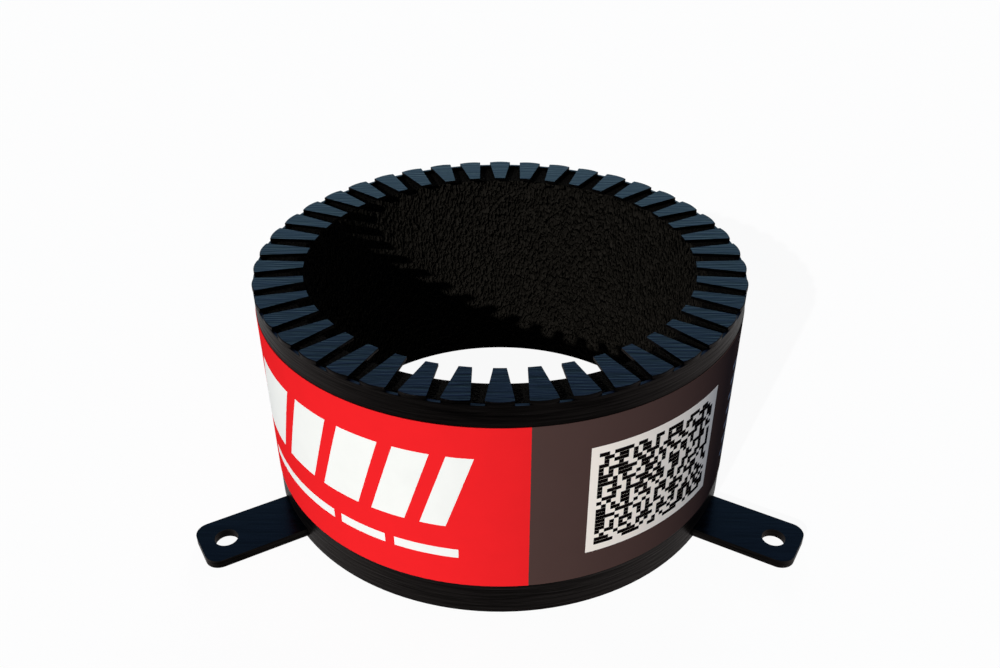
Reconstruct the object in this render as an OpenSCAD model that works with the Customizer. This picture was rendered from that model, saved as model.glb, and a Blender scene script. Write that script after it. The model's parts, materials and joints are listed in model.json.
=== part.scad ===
// Pipe fire collar: a rolled steel casing with a crown of folded tabs, an
// intumescent liner, a wrap-round label and three fixing lugs.
// Millimetres, +Z up along the pipe. The origin is on the pipe axis in the
// plane that the collar stands on, and the front is towards -Y.

/* [Pipe passage] */
// Outside diameter of the pipe that the collar goes round
pipe_d = 160; // [110:1:200]
// Gap between the pipe and the tips of the tabs
pipe_clearance = 1; // [0.5:0.1:3]
// Gap between the pipe and the liner
liner_space = 5.6; // [4:0.1:10]

/* [Liner] */
// Thickness of the intumescent liner
liner_t = 14; // [8:0.5:20]
// Gap between the liner and the casing round it
liner_clearance = 0.2; // [0.1:0.05:0.5]
// Gap between the top of the liner and the underside of the tabs
liner_headroom = 2.2; // [0.5:0.1:5]

/* [Casing] */
// Height of the casing, to the top of the tabs
casing_h = 101.4; // [70:0.1:140]
// Thickness of the casing's sheet steel
sheet_t = 1.2; // [0.8:0.1:2]

/* [Folds] */
// Radius of the rounded edge between a fold and the top of its tab
fold_r = 0.3; // [0.2:0.1:0.7]
// Radius of the curve in which a folded edge bows out, seen from above
fold_bow_r = 16.5; // [14:0.5:30]
// How far the middle of a folded edge stands out from the wall
fold_crest = 0.3; // [0.1:0.1:0.6]
// How far below the floor of the notches a fold begins
fold_drop = 0.2; // [0.1:0.1:1]

/* [Tabs] */
// Distance from one tab to the next, round the outside of the casing
tab_pitch = 15.1; // [13:0.1:20]
// Width of a tab at its root
tab_root_w = 10; // [7:0.1:11]
// Width of a tab at its tip
tab_tip_w = 4.8; // [3:0.1:6.5]
// Length of the parallel-sided root, before the tab begins to taper
tab_root_l = 1.5; // [1:0.1:5]
// Depth of the notches between the tabs, below the underside of the tabs
notch_relief = 0.4; // [0.2:0.1:2]

/* [Label] */
// Bare wall below the label
label_foot = 14.4; // [8:0.1:25]
// Bare wall above the label
label_head = 10.9; // [4:0.1:25]
// Thickness of the label
label_t = 0.2; // [0.1:0.05:0.5]
// Thickness of the adhesive between the label and the wall
label_glue = 0.05; // [0.03:0.01:0.1]
// Width of the gap between the label's two ends, at the rear
label_seam = 2; // [1:0.5:6]
// Distance round the wall from the front to the line where the label's two fields meet
label_split = 10.8; // [-40:0.1:40]

/* [Fixing lugs] */
// Width of a lug
lug_w = 24; // [18:0.5:40]
// Thickness of a lug
lug_t = 3.8; // [2:0.1:5]
// Length of a lug, from the casing to its tip
lug_l = 41; // [32:0.5:60]
// Distance from a lug's tip to the centre of its hole
lug_hole_inset = 10.7; // [8:0.1:14]
// Diameter of the fixing hole
lug_hole_d = 9.6; // [5:0.1:10]
// Radius of a lug's outer corners
lug_corner_r = 6; // [2:0.5:8]
// Height of a lug's underside above the plane that the collar stands on
lug_lift = 1.4; // [0:0.1:6]

/* [Hidden] */
$fn = 180;

// How far a cut runs past the surface that it cuts
overcut = 1;
// Direction of the front, and of each lug, from +X
front_angle = -90;
lug_left_angle = front_angle - 60;
lug_right_angle = front_angle + 60;
lug_rear_angle = front_angle + 180;

tab_tip_r = pipe_d / 2 + pipe_clearance;
liner_in_r = pipe_d / 2 + liner_space;
liner_out_r = liner_in_r + liner_t;
wall_in_r = liner_out_r + liner_clearance;
casing_r = wall_in_r + sheet_t;
tab_under_z = casing_h - sheet_t;
liner_h = tab_under_z - liner_headroom;

tab_count = round(2 * PI * casing_r / tab_pitch);
tab_step = 360 / tab_count;
tab_shoulder_r = casing_r - tab_root_l;
tab_taper = (tab_root_w - tab_tip_w) / (tab_shoulder_r - tab_tip_r);
notch_z = tab_under_z - notch_relief;
crest_r = casing_r + fold_crest;
fold_foot_z = notch_z - fold_drop;

label_in_r = casing_r + label_glue;
label_out_r = label_in_r + label_t;
label_h = casing_h - label_foot - label_head;
label_seam_angle = label_seam / label_out_r * 180 / PI;
label_split_angle = label_split / label_out_r * 180 / PI;

lug_tip_r = casing_r + lug_l;
lug_hole_r = lug_tip_r - lug_hole_inset;

// Width of a tab at a distance from the axis
function tab_width(r) = r > tab_shoulder_r
    ? tab_root_w
    : tab_tip_w + tab_taper * (r - tab_tip_r);

module ring(inner_r, outer_r, height) {
    difference() {
        cylinder(r = outer_r, h = height);
        translate([0, 0, -overcut])
            cylinder(r = inner_r, h = height + 2 * overcut);
    }
}

// Outline of a tab, running past its tip and its fold
module tab_outline() {
    radii = [tab_tip_r - overcut, tab_shoulder_r, crest_r + overcut];
    side = [for (r = radii) [r, tab_width(r) / 2]];
    far_side = [for (i = [len(side) - 1:-1:0]) [side[i].x, -side[i].y]];
    polygon(concat(side, far_side));
}

// Disc whose rim, rounded at the top, is the bowed outer face of a fold
module fold_disc() {
    disc_h = casing_h - fold_foot_z;
    rotate_extrude() {
        square([fold_bow_r, disc_h - fold_r]);
        square([fold_bow_r - fold_r, disc_h]);
        translate([fold_bow_r - fold_r, disc_h - fold_r])
            circle(r = fold_r);
    }
}

// A tab with its fold, not yet cleared inside
module tab_block() {
    intersection() {
        translate([crest_r - fold_bow_r, 0, fold_foot_z])
            fold_disc();
        translate([0, 0, fold_foot_z - overcut])
            linear_extrude(casing_h - fold_foot_z + 2 * overcut)
                tab_outline();
    }
}

module casing() {
    color([0.12, 0.14, 0.17])
        difference() {
            union() {
                cylinder(r = casing_r, h = notch_z);
                for (i = [0:tab_count - 1])
                    rotate(front_angle + i * tab_step)
                        tab_block();
            }
            translate([0, 0, -overcut])
                cylinder(r = wall_in_r, h = tab_under_z + overcut);
            translate([0, 0, -overcut])
                cylinder(r = tab_tip_r, h = casing_h + 2 * overcut);
        }
}

module liner() {
    color([0.16, 0.13, 0.10])
        ring(liner_in_r, liner_out_r, liner_h);
}

// A stretch of the label's film, from the line where its two fields meet
module label_field(sweep) {
    rotate_extrude(angle = sweep)
        translate([label_in_r, 0])
            square([label_t, label_h]);
}

module label() {
    half_sweep = 180 - label_seam_angle / 2;
    translate([0, 0, label_foot])
        rotate(front_angle + label_split_angle) {
            color([0.28, 0.21, 0.19])
                label_field(half_sweep - label_split_angle);
            color([0.93, 0.14, 0.15])
                mirror([0, 1, 0])
                    label_field(half_sweep + label_split_angle);
        }
}

// Flat strip with rounded outer corners, its root cut to the casing's curve
module lug_outline() {
    corner_x = lug_tip_r - lug_corner_r;
    corner_y = lug_w / 2 - lug_corner_r;
    difference() {
        union() {
            translate([0, -lug_w / 2])
                square([corner_x, lug_w]);
            translate([0, -corner_y])
                square([lug_tip_r, 2 * corner_y]);
            for (side = [-1, 1])
                translate([corner_x, side * corner_y])
                    circle(r = lug_corner_r);
        }
        circle(r = casing_r);
        translate([lug_hole_r, 0])
            circle(d = lug_hole_d);
    }
}

module lug(angle) {
    color([0.05, 0.08, 0.12])
        rotate(angle)
            translate([0, 0, lug_lift])
                linear_extrude(lug_t)
                    lug_outline();
}

casing();
liner();
label();
lug(lug_left_angle);  // lug_left
lug(lug_right_angle);  // lug_right
lug(lug_rear_angle);  // lug_rear
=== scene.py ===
# Pipe fire collar: painted steel, textured liner, printed label, light and camera
import json
import math
import random

import bmesh
import bpy
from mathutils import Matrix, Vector

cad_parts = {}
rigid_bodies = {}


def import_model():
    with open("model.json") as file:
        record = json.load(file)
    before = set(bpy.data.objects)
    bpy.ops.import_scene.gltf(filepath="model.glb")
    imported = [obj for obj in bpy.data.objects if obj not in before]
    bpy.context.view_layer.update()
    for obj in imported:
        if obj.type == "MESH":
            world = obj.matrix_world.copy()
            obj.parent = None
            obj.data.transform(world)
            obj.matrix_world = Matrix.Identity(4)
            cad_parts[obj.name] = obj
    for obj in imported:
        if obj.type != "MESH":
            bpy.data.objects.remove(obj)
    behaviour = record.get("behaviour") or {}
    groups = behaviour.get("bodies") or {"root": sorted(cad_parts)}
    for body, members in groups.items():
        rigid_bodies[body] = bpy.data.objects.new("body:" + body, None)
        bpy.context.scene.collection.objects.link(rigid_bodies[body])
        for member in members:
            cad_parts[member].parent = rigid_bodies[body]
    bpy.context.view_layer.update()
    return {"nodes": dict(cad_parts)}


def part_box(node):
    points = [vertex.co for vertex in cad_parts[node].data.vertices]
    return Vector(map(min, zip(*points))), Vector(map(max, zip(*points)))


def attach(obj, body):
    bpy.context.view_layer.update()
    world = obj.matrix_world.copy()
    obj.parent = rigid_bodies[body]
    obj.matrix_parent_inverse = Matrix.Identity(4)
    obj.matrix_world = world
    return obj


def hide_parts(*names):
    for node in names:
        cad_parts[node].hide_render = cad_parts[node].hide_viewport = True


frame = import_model()

# Units of length and angle used below, in metres and radians
MM = 0.001
DEGREE = math.pi / 180


def radii(node, below=math.inf):
    """Least and greatest distance from the pipe axis of a node's corners below a height."""
    corners = [v.co for v in frame["nodes"][node].data.vertices if v.co.z < below]
    reach = [math.hypot(corner.x, corner.y) for corner in corners]
    return min(reach), max(reach)


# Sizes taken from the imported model, the casing's from its wall below the crown
liner_low_z, liner_top_z = [corner.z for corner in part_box("liner")]
label_low_z, label_top_z = [corner.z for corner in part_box("label")]
liner_in_r, liner_out_r = radii("liner")
label_in_r, label_out_r = radii("label")
casing_r = radii("casing", label_top_z)[1]

# Camera of the photograph for a frame of 1000 by 668, its place in radii of the casing
CAMERA_LENS = 35.375
CAMERA_SENSOR = 36
CAMERA_TILT = 55.93 * DEGREE
CAMERA_PLACE = Vector((0, -3.58654, 2.92747)) * casing_r
CAMERA_SHIFT = 0.0243

# Light: a low key from the front left, as the shadows in the bore show, a soft fill for the
# rear and a faint sky
KEY_BEARING = -28 * DEGREE
KEY_HEIGHT = 27.75 * DEGREE
KEY_STRENGTH = 3.65
KEY_SPREAD = 0.7 * DEGREE
FILL_BEARING = 172 * DEGREE
FILL_HEIGHT = 12 * DEGREE
FILL_STRENGTH = 2.4
FILL_SPREAD = 25 * DEGREE
SKY_FILL = (0.040, 0.063, 0.125, 1)
BACKDROP = (1, 1, 1, 1)

# Floor: its place and size, how much of it is plain white to the eye, how it looks and how it
# bounces light
FLOOR_DROP = 0.1 * MM
FLOOR_RADIUS = 30 * casing_r
FLOOR_SIDES = 96
FLOOR_GLOW = 0.94
FLOOR_SHADE = (0.9, 0.9, 0.9, 1)
FLOOR_BOUNCE = (0.20, 0.27, 0.36, 1)

# Black paint: streaks in cycles a metre along each axis, colours of the wall, how much of its
# gloss is a metal's from face on to grazing, colours of the tops, and tints of the gloss. The
# tops' blue colours and blue gloss tint are a painted reflection of a blue sky
WALL_STREAKS = (45, 45, 850)
WALL_DARK, WALL_PALE = (0.0003, 0.0002, 0.0002), (0.0048, 0.0041, 0.0039)
WALL_METAL = ((0.3, 1.0), (0.45, 0.75), (0.61, 0.36), (0.8, 0.22), (0.97, 0.05))
WALL_GLOSS = (0.84, 0.80, 0.79, 1)
TOP_STREAKS = (60, 780, 60)
# Painted reflection: the tops' blue gloss tint and blue colours stand in for a blue sky
TOP_PAINTED_SKY_GLOSS = (0.69, 0.88, 1.0, 1)
CASING_TOP_PAINTED_SKY = (0.0032, 0.0050, 0.0144)
LUG_TOP_PAINTED_SKY = (0.0019, 0.0038, 0.0090)
TOP_UPRIGHTNESS = 0.96

# Liner: rows and columns of cells on its inner face, cells across its ends, its wrinkles, and
# the colours of its skin and of its ends, whose darker colour is a painted shade under the tabs
LINER_ROW = 0.97 * MM
LINER_COLUMN = 0.8 * MM
LINER_END_CELL = 2.4 * MM
WRINKLE_DEPTH = 1.4 * MM
WRINKLE_SIZE = 1.8 * MM
LINER_SKIN = (0.0107, 0.0095, 0.0077)
# Painted shade: the liner's ends are darker than its skin, as under the tabs
LINER_END_PAINTED_SHADE = (0.0045, 0.0042, 0.0038)
END_UPRIGHTNESS = 0.9

# Label, in millimetres along the film from the front and up from the base
LABEL_LOW, LABEL_HIGH = label_low_z / MM, label_top_z / MM
LABEL_SEAM = 2
LABEL_END = math.pi * label_in_r / MM - LABEL_SEAM / 2
FIELD_SPLIT = 10.8
FILM_DEPTH = (label_out_r - label_in_r) / MM
PRINT_DEPTH = 0.03
WRAP_COLUMN = 2.5
STRIPE_LOW, STRIPE_HIGH = 43.8, 76.8
STRIPE_LEAN = 11
STRIPES = ((-30, -20), (-50, -36), (-74, -56), (-98, -80), (-132, -104), (-146, -138), (-156, -152))
RULE_LOW, RULE_HIGH = 28.4, 32.6
RULES = ((-41, -15.5), (-66, -45), (-120, -70))
PANEL_LEFT, PANEL_RIGHT = 32.6, 97.2
PANEL_LOW, PANEL_HIGH = 26.9, 77.7
MOSAIC_MARGIN = 3.2
MOSAIC_GAP = 0.08
LINE_LEFT = 117
LINE_LENGTHS = (62, 70, 48, 66, 58, 70, 36)
LINE_LOW, LINE_STEP, LINE_HIGH = 28, 7.4, 2.2

# Mosaic, in cells, with the lengths that its runs and the gaps between them are drawn from
MOSAIC_COLUMNS, MOSAIC_ROWS = 29, 25
MOSAIC_STARTS = (0, 0, 1)
MOSAIC_RUNS = (1, 1, 1, 2, 2, 3, 4)
MOSAIC_SKIPS = (1, 1, 1, 2, 2)
MOSAIC_SEED = 11

# Colours of the label's film and of its print, whose ink is mottled in cycles a metre
FILM_RED = (0.83, 0.0159, 0.0183)
FILM_BROWN = (0.074, 0.041, 0.0345)
STRIPE_IVORY = (0.86, 0.845, 0.77)
PANEL_WHITE = (0.99, 0.88, 0.75)
MOSAIC_INK = (0.004, 0.0025, 0.0025)
LINE_GREY = (0.5, 0.5, 0.52)
MOTTLE = (90, 90, 90)

# Modelling: how near two places count as one, and the bends that stay sharp in the shading
SLACK = 0.01 * MM
PLATE_SLACK = 0.001 * MM
CREASE = 35 * DEGREE
LINER_CREASE = 75 * DEGREE


class Value:
    """An output of a shader graph. Arithmetic on it adds Math nodes."""

    def __init__(self, finish, socket):
        self.finish = finish
        self.socket = socket

    def maths(self, operation, first, second):
        return self.finish.node("ShaderNodeMath", {"operation": operation}, {0: first, 1: second})

    def __add__(self, other):
        return self.maths("ADD", self, other)

    def __radd__(self, other):
        return self.maths("ADD", other, self)

    def __mul__(self, other):
        return self.maths("MULTIPLY", self, other)

    def __rmul__(self, other):
        return self.maths("MULTIPLY", other, self)

    def __gt__(self, other):
        return self.maths("GREATER_THAN", self, other)


def scaled(colour, factor):
    return tuple(factor * part for part in colour)


class Finish:
    """A node graph under construction, of a material or of the world."""

    def __init__(self, owner):
        owner.use_nodes = True
        self.owner = owner
        self.tree = owner.node_tree
        self.tree.nodes.clear()

    def node(self, kind, settings=None, inputs=None, output=0):
        """Adds a node, sets it up, fills its sockets and returns one output."""
        made = self.tree.nodes.new(kind)
        for name, value in (settings or {}).items():
            if name == "stops":
                ramp = made.color_ramp.elements
                while len(ramp) < len(value):
                    ramp.new(0.5)
                for element, (place, colour) in zip(ramp, value):
                    element.position = place
                    element.color = colour
            else:
                setattr(made, name, value)
        for name, value in (inputs or {}).items():
            if isinstance(value, Value):
                self.tree.links.new(value.socket, made.inputs[name])
            else:
                made.inputs[name].default_value = value
        return Value(self, made.outputs[output]) if made.outputs else None

    def noise(self, cycles, detail, distortion=0.0):
        """Noise on Object coordinates with so many cycles in a metre along each axis."""
        place = self.node("ShaderNodeTexCoord", output="Object")
        spread = self.node("ShaderNodeMapping", None, {"Vector": place, "Scale": cycles})
        sockets = {"Vector": spread, "Scale": 1.0, "Detail": detail, "Distortion": distortion}
        return self.node("ShaderNodeTexNoise", None, sockets)

    def ramp(self, value, *stops):
        """Maps a value to grey levels by (place, level) stops."""
        stops = [(place, (level, level, level, 1)) for place, level in stops]
        return self.node("ShaderNodeValToRGB", {"stops": stops}, {"Fac": value})

    def tint(self, amount, first, second):
        """A colour that goes from the first to the second with the amount."""
        sockets = {"Factor": amount, "A": (*first, 1), "B": (*second, 1)}
        return self.node("ShaderNodeMix", {"data_type": "RGBA"}, sockets, "Result")

    def shades(self, amount, colour, contrast):
        """A colour that goes from a darker to a paler shade of the one given with the amount."""
        return self.tint(amount, scaled(colour, 1 - contrast), scaled(colour, 1 + contrast))

    def bump(self, height, strength, depth):
        sockets = {"Height": height, "Strength": strength, "Distance": depth}
        return self.node("ShaderNodeBump", None, sockets, "Normal")

    def principled(self, **sockets):
        named = {name.replace("_", " "): value for name, value in sockets.items()}
        return self.node("ShaderNodeBsdfPrincipled", None, named)

    def mixed(self, amount, first, second):
        return self.node("ShaderNodeMixShader", None, {0: amount, 1: first, 2: second})

    def surface(self, shader):
        kind = "World" if isinstance(self.owner, bpy.types.World) else "Material"
        self.node("ShaderNodeOutput" + kind, None, {"Surface": shader})
        return self.owner


def new_finish(name):
    return Finish(bpy.data.materials.new(name))


def up_facing(finish):
    """One on faces that look straight up, nought on folds and walls: where the painted sky reflection
    goes.
    """
    normal = finish.node("ShaderNodeTexCoord", output="Normal")
    return finish.node("ShaderNodeSeparateXYZ", None, {0: normal}, "Z") > TOP_UPRIGHTNESS


def drawn_streaks(finish, cycles, waver=0.0):
    """Streaks as a height for the bump, and as a stronger tone from nought to one."""
    height = finish.noise(cycles, detail=3.0, distortion=waver)
    return height, finish.ramp(height, (0.3, 0.0), (0.7, 1.0))


def black_paint(name, top_painted_sky, top_roughness, top_contrast):
    """Black paint with drawn streaks, and where it faces up a painted reflection of a blue sky."""
    finish = new_finish(name)
    wall_height, wall_tone = drawn_streaks(finish, WALL_STREAKS)
    grazing = finish.node("ShaderNodeLayerWeight", None, {"Blend": 0.5}, "Facing")
    wall = finish.principled(
        Base_Color=finish.tint(wall_tone, WALL_DARK, WALL_PALE),
        Metallic=finish.ramp(grazing, *WALL_METAL),
        IOR=1.04,
        Specular_Tint=WALL_GLOSS,
        Roughness=0.30 + 0.12 * wall_tone,
        Normal=finish.bump(wall_height, strength=0.5, depth=0.4 * MM),
    )
    top_height, top_tone = drawn_streaks(finish, TOP_STREAKS, waver=0.15)
    # Painted reflection: the tops' blue colour and gloss tint stand in for a blue sky
    top = finish.principled(
        Base_Color=finish.shades(top_tone, top_painted_sky, top_contrast),
        Metallic=1.0,
        Specular_Tint=TOP_PAINTED_SKY_GLOSS,
        Roughness=top_roughness + 0.1 * top_tone,
        Normal=finish.bump(top_height, strength=0.6 * top_contrast, depth=0.6 * MM),
    )
    return finish.surface(finish.mixed(up_facing(finish), wall, top))


def liner_compound(name, colour, cycles, depth):
    """Dull black-brown compound, darker in its grain's hollows and paler on its ridges: partly its own
    tone, partly painted shade. Its grain has so many cycles in a metre across, half upwards.
    """
    finish = new_finish(name)
    grain = finish.noise((cycles, cycles, 0.5 * cycles), detail=0.0, distortion=0.5)
    # Tone from the grain's height: darker hollows and paler ridges, partly the compound's own tone,
    # partly painted shade
    tone = finish.ramp(grain, (0.35, 0.0), (0.65, 1.0))
    compound = finish.principled(
        Base_Color=finish.shades(tone, colour, contrast=0.2),
        Roughness=0.6,
        IOR=1.03,
        Normal=finish.bump(grain, strength=1.0, depth=depth),
    )
    return finish.surface(compound)


def printed_film(name, colour):
    """Matt film with a slight unevenness of its ink."""
    finish = new_finish(name)
    mottle = finish.noise(MOTTLE, detail=3.0)
    film = finish.principled(
        Base_Color=finish.shades(mottle, colour, contrast=0.04),
        Roughness=0.55,
        IOR=1.005,
    )
    return finish.surface(film)


def dress(node, material):
    for slot in frame["nodes"][node].material_slots:
        slot.material = material


def dress_steel():
    """Paints the casing and the lugs, which keep their shapes."""
    # The tops of the casing and the lugs carry a painted reflection of a blue sky
    casing_paint = black_paint("casing_paint", CASING_TOP_PAINTED_SKY, top_roughness=0.3, top_contrast=0.75)
    lug_paint = black_paint("lug_paint", LUG_TOP_PAINTED_SKY, top_roughness=0.15, top_contrast=0.2)
    dress("casing", casing_paint)
    for lug in ("lug_left", "lug_right", "lug_rear"):
        dress(lug, lug_paint)


def new_piece(name):
    """An empty piece, open in edit mode, with nothing else selected."""
    bpy.ops.object.select_all(action="DESELECT")
    piece = bpy.data.objects.new(name, bpy.data.meshes.new(name))
    bpy.context.collection.objects.link(piece)
    bpy.context.view_layer.objects.active = piece
    piece.select_set(True)
    bpy.ops.object.mode_set(mode="EDIT")
    return piece


def finish_piece(piece, crease=CREASE):
    """Closes edit mode, smooths the shading and gives the piece its body."""
    bpy.ops.object.mode_set(mode="OBJECT")
    bpy.ops.object.shade_smooth_by_angle(angle=crease)
    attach(piece, "root")


def pick_edges(piece, rule):
    """Selects the edges whose middles the rule takes."""
    bpy.ops.mesh.select_all(action="DESELECT")
    edit = bmesh.from_edit_mesh(piece.data)
    for edge in edit.edges:
        middle = (edge.verts[0].co + edge.verts[1].co) / 2
        edge.select = rule(middle)
    bmesh.update_edit_mesh(piece.data)


def spin_liner():
    """The liner's ring, spun from its section and left open in edit mode."""
    liner = new_piece("liner_ring")
    height = liner_top_z - liner_low_z
    thickness = liner_out_r - liner_in_r
    centre = Vector(((liner_in_r + liner_out_r) / 2, 0, (liner_low_z + liner_top_z) / 2))
    bpy.ops.mesh.primitive_plane_add(size=1, location=centre, rotation=(90 * DEGREE, 0, 0))
    bpy.ops.transform.resize(value=(thickness, 1, height), center_override=centre)
    bpy.ops.mesh.delete(type="ONLY_FACE")
    bpy.ops.mesh.select_mode(type="EDGE")
    pick_edges(liner, lambda middle: middle.x < liner_in_r + SLACK)
    bpy.ops.mesh.subdivide(number_cuts=round(height / LINER_ROW) - 1)
    pick_edges(liner, lambda middle: abs(middle.x - centre.x) < SLACK)
    bpy.ops.mesh.subdivide(number_cuts=round(thickness / LINER_END_CELL) - 1)
    bpy.ops.mesh.select_mode(type="VERT")
    bpy.ops.mesh.select_all(action="SELECT")
    bpy.ops.mesh.spin(
        steps=round(2 * math.pi * liner_in_r / LINER_COLUMN),
        angle=360 * DEGREE,
        center=(0, 0, 0),
        axis=(0, 0, 1),
    )
    bpy.ops.mesh.select_all(action="SELECT")
    bpy.ops.mesh.remove_doubles(threshold=SLACK)
    bpy.ops.mesh.normals_make_consistent(inside=False)
    return liner


def dress_liner(liner):
    """Gives the ring its skin, and its two ends a darker colour, a painted shade. Closes edit mode."""
    liner.data.materials.append(liner_compound("liner_skin", LINER_SKIN, cycles=850, depth=7.2 * MM))
    # The ends get the darker colour, a painted shade
    liner.data.materials.append(liner_compound("liner_end_painted_shade", LINER_END_PAINTED_SHADE, cycles=1100, depth=2 * MM))
    bpy.ops.mesh.select_mode(type="FACE")
    bpy.ops.mesh.select_all(action="DESELECT")
    edit = bmesh.from_edit_mesh(liner.data)
    for face in edit.faces:
        face.select = abs(face.normal.z) > END_UPRIGHTNESS
    bmesh.update_edit_mesh(liner.data)
    liner.active_material_index = 1
    bpy.ops.object.material_slot_assign()
    bpy.ops.mesh.select_mode(type="VERT")
    bpy.ops.object.mode_set(mode="OBJECT")


def wrinkle_liner(liner):
    """Raises and sinks the ring's inner face between its two rims."""
    skin = liner.vertex_groups.new(name="skin")
    for point in liner.data.vertices:
        inside = math.hypot(point.co.x, point.co.y) < liner_in_r + SLACK
        if inside and liner_low_z + SLACK < point.co.z < liner_top_z - SLACK:
            skin.add([point.index], 1.0, "REPLACE")
    clouds = bpy.data.textures.new("wrinkles", "CLOUDS")
    clouds.noise_scale = WRINKLE_SIZE
    clouds.noise_depth = 0
    sink = liner.modifiers.new("sink", "DISPLACE")
    sink.texture = clouds
    sink.texture_coords = "LOCAL"
    sink.vertex_group = "skin"
    sink.strength = WRINKLE_DEPTH
    sink.mid_level = 0.5
    bpy.ops.object.modifier_apply(modifier="sink")
    bpy.data.textures.remove(clouds)
    liner.vertex_groups.clear()


def make_liner():
    liner = spin_liner()
    dress_liner(liner)
    wrinkle_liner(liner)
    finish_piece(liner, LINER_CREASE)
    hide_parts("liner")


def plate_centre(left, right, low, high, depth):
    """Middle of a plate of the unrolled label, in metres, from its edges in millimetres."""
    return Vector(((left + right) / 2, -depth, (low + high) / 2)) * MM


def add_plate(left, right, low, high, depth):
    """A plate of the unrolled label, in columns that can follow the curve."""
    centre = plate_centre(left, right, low, high, depth)
    bpy.ops.mesh.primitive_grid_add(
        x_subdivisions=math.ceil((right - left) / WRAP_COLUMN),
        y_subdivisions=1,
        size=1,
        location=centre,
        rotation=(90 * DEGREE, 0, 0),
    )
    bpy.ops.transform.resize(value=((right - left) * MM, 1, (high - low) * MM), center_override=centre)


def add_leaning_plate(piece, left, right, low, high, depth, lean):
    """A plate of the unrolled label whose top edge is moved along by the lean."""
    centre = plate_centre(left, right, low, high, depth)
    bpy.ops.mesh.primitive_plane_add(size=1, location=centre, rotation=(90 * DEGREE, 0, 0))
    bpy.ops.transform.resize(value=((right - left) * MM, 1, (high - low) * MM), center_override=centre)
    edit = bmesh.from_edit_mesh(piece.data)
    for point in edit.verts:
        point.select = point.select and point.co.z > centre.z
    edit.select_flush(True)
    bmesh.update_edit_mesh(piece.data)
    bpy.ops.transform.translate(value=(lean * MM, 0, 0))
    bpy.ops.mesh.select_linked()
    bpy.ops.mesh.subdivide(number_cuts=math.ceil(max(right - left, lean) / WRAP_COLUMN))


def thicken_and_wrap(piece, thickness):
    """Gives flat plates their thickness and rolls them round the casing."""
    bpy.ops.mesh.select_all(action="SELECT")
    bpy.ops.mesh.remove_doubles(threshold=PLATE_SLACK)
    bpy.ops.mesh.extrude_region_move(TRANSFORM_OT_translate={"value": (0, -thickness * MM, 0)})
    bpy.ops.mesh.select_all(action="SELECT")
    bpy.ops.mesh.normals_make_consistent(inside=False)
    bpy.ops.object.mode_set(mode="OBJECT")
    roll = piece.modifiers.new("roll", "SIMPLE_DEFORM")
    roll.deform_method = "BEND"
    roll.deform_axis = "Z"
    roll.angle = piece.dimensions.x / label_in_r
    bpy.ops.object.modifier_apply(modifier="roll")
    bpy.ops.object.mode_set(mode="EDIT")
    bpy.ops.mesh.select_all(action="SELECT")
    bpy.ops.transform.translate(value=(0, -label_in_r, 0))


def make_label_film():
    """The film in its two fields, from seam to seam."""
    film = new_piece("label_film")
    film.data.materials.append(printed_film("label_red", FILM_RED))
    film.data.materials.append(printed_film("label_brown", FILM_BROWN))
    for field, (left, right) in enumerate(((-LABEL_END, FIELD_SPLIT), (FIELD_SPLIT, LABEL_END))):
        add_plate(left, right, LABEL_LOW, LABEL_HIGH, 0)
        film.active_material_index = field
        bpy.ops.object.material_slot_assign()
    thicken_and_wrap(film, FILM_DEPTH)
    finish_piece(film)
    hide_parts("label")


def finish_print(piece, ink):
    """Gives a piece of the print its ink, its thickness and its curve."""
    piece.data.materials.append(ink)
    thicken_and_wrap(piece, PRINT_DEPTH)
    finish_piece(piece)


def make_stripes():
    """Leaning stripes and level rules on the red field."""
    stripes = new_piece("label_stripes")
    for left, right in STRIPES:
        add_leaning_plate(stripes, left, right, STRIPE_LOW, STRIPE_HIGH, FILM_DEPTH, STRIPE_LEAN)
    for left, right in RULES:
        add_plate(left, right, RULE_LOW, RULE_HIGH, FILM_DEPTH)
    finish_print(stripes, printed_film("print_white", STRIPE_IVORY))


def make_panel():
    """A pale panel on the brown field."""
    panel = new_piece("label_panel")
    add_plate(PANEL_LEFT, PANEL_RIGHT, PANEL_LOW, PANEL_HIGH, FILM_DEPTH)
    finish_print(panel, printed_film("print_bright_white", PANEL_WHITE))


def make_mosaic():
    """Dark cells in rows on the panel, in runs and gaps of random length."""
    cell_w = (PANEL_RIGHT - PANEL_LEFT - 2 * MOSAIC_MARGIN) / MOSAIC_COLUMNS
    cell_h = (PANEL_HIGH - PANEL_LOW - 2 * MOSAIC_MARGIN) / MOSAIC_ROWS
    draw = random.Random(MOSAIC_SEED)
    mosaic = new_piece("label_mosaic")
    for row in range(MOSAIC_ROWS):
        bottom = PANEL_LOW + MOSAIC_MARGIN + row * cell_h
        column = draw.choice(MOSAIC_STARTS)
        while column < MOSAIC_COLUMNS:
            run = min(draw.choice(MOSAIC_RUNS), MOSAIC_COLUMNS - column)
            start = PANEL_LEFT + MOSAIC_MARGIN + column * cell_w
            end = start + run * cell_w
            add_plate(start, end, bottom, bottom + cell_h - MOSAIC_GAP, FILM_DEPTH + PRINT_DEPTH)
            column += run + draw.choice(MOSAIC_SKIPS)
    finish_print(mosaic, printed_film("print_ink", MOSAIC_INK))


def make_lines():
    """Thin lines of several lengths on the brown field, beside the panel."""
    lines = new_piece("label_lines")
    for row, length in enumerate(LINE_LENGTHS):
        bottom = LINE_LOW + row * LINE_STEP
        add_plate(LINE_LEFT, LINE_LEFT + length, bottom, bottom + LINE_HIGH, FILM_DEPTH)
    finish_print(lines, printed_film("print_grey", LINE_GREY))


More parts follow.
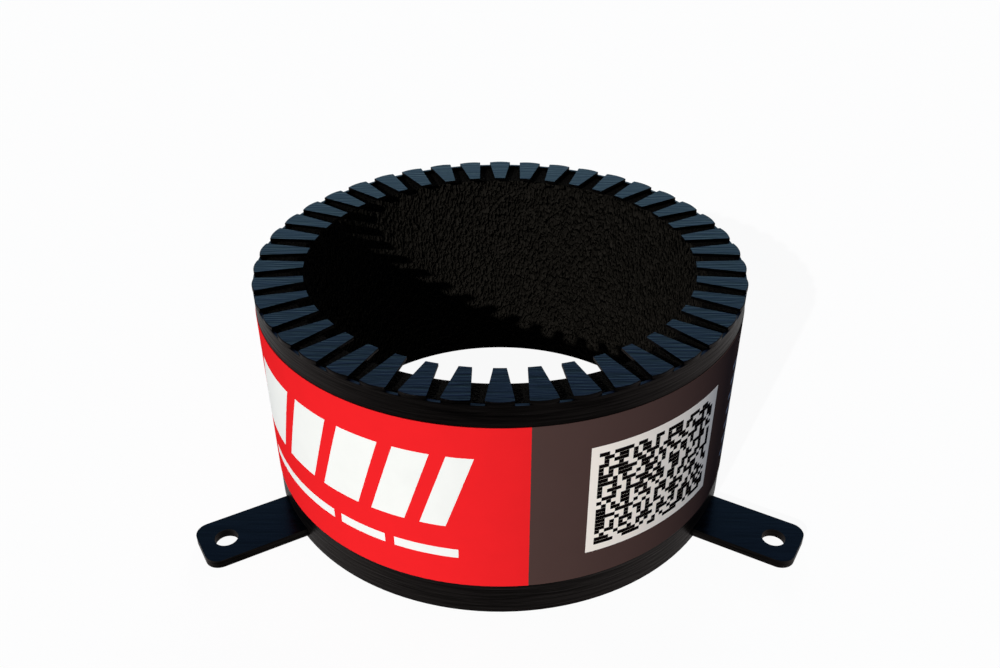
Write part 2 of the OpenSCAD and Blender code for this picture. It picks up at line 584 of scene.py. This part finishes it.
def make_camera():
    lens = bpy.data.cameras.new("camera")
    lens.lens = CAMERA_LENS
    lens.sensor_width = CAMERA_SENSOR
    lens.shift_y = CAMERA_SHIFT
    camera = bpy.data.objects.new("camera", lens)
    camera.location = CAMERA_PLACE
    camera.rotation_euler = (CAMERA_TILT, 0, 0)
    bpy.context.collection.objects.link(camera)
    bpy.context.scene.camera = camera


def make_lamp(name, bearing, height, strength, spread):
    """A far lamp, its bearing counted from the front towards the right."""
    light = bpy.data.lights.new(name, "SUN")
    light.energy = strength
    light.angle = spread
    lamp = bpy.data.objects.new(name, light)
    towards = Vector((
        math.sin(bearing) * math.cos(height),
        -math.cos(bearing) * math.cos(height),
        math.sin(height),
    ))
    lamp.rotation_euler = towards.to_track_quat("Z", "Y").to_euler()
    bpy.context.collection.objects.link(lamp)
    return lamp


def make_lamps():
    """The key, and a fill that lights the rear without a shine."""
    make_lamp("key", KEY_BEARING, KEY_HEIGHT, KEY_STRENGTH, KEY_SPREAD)
    fill = make_lamp("fill", FILL_BEARING, FILL_HEIGHT, FILL_STRENGTH, FILL_SPREAD)
    fill.visible_glossy = False


def seen_directly(finish):
    """One for rays from the camera and for mirrored or passing rays."""
    camera = finish.node("ShaderNodeLightPath", output="Is Camera Ray")
    glossy = finish.node("ShaderNodeLightPath", output="Is Glossy Ray")
    through = finish.node("ShaderNodeLightPath", output="Is Transmission Ray")
    return camera + glossy + through


def make_world():
    """White to the eye and in reflections, and a faint blue sky as a light."""
    world = bpy.data.worlds.new("studio")
    bpy.context.scene.world = world
    finish = Finish(world)
    sky = finish.node("ShaderNodeBackground", None, {"Color": SKY_FILL, "Strength": 1.0})
    backdrop = finish.node("ShaderNodeBackground", None, {"Color": BACKDROP, "Strength": 1.0})
    finish.surface(finish.mixed(seen_directly(finish), sky, backdrop))


def make_floor():
    """A pale disc just below the base, clear when it is looked at from below."""
    bpy.ops.object.select_all(action="DESELECT")
    bpy.ops.mesh.primitive_circle_add(
        vertices=FLOOR_SIDES,
        radius=FLOOR_RADIUS,
        fill_type="NGON",
        location=(0, 0, -FLOOR_DROP),
    )
    floor = bpy.context.object
    floor.name = "floor"
    finish = new_finish("pale_floor")
    bounce = finish.node("ShaderNodeBsdfDiffuse", None, {"Color": FLOOR_BOUNCE})
    shade = finish.node("ShaderNodeBsdfDiffuse", None, {"Color": FLOOR_SHADE})
    glow = finish.node("ShaderNodeEmission", None, {"Color": BACKDROP, "Strength": 1.0})
    pale = finish.mixed(FLOOR_GLOW, shade, glow)
    upper = finish.mixed(seen_directly(finish), bounce, pale)
    underneath = finish.node("ShaderNodeNewGeometry", output="Backfacing")
    clear = finish.node("ShaderNodeBsdfTransparent")
    floor.data.materials.append(finish.surface(finish.mixed(underneath, upper, clear)))


dress_steel()
make_liner()
make_label_film()
make_stripes()
make_panel()
make_mosaic()
make_lines()

make_camera()
make_lamps()
make_world()
make_floor()
bpy.context.scene.view_settings.view_transform = "Standard"
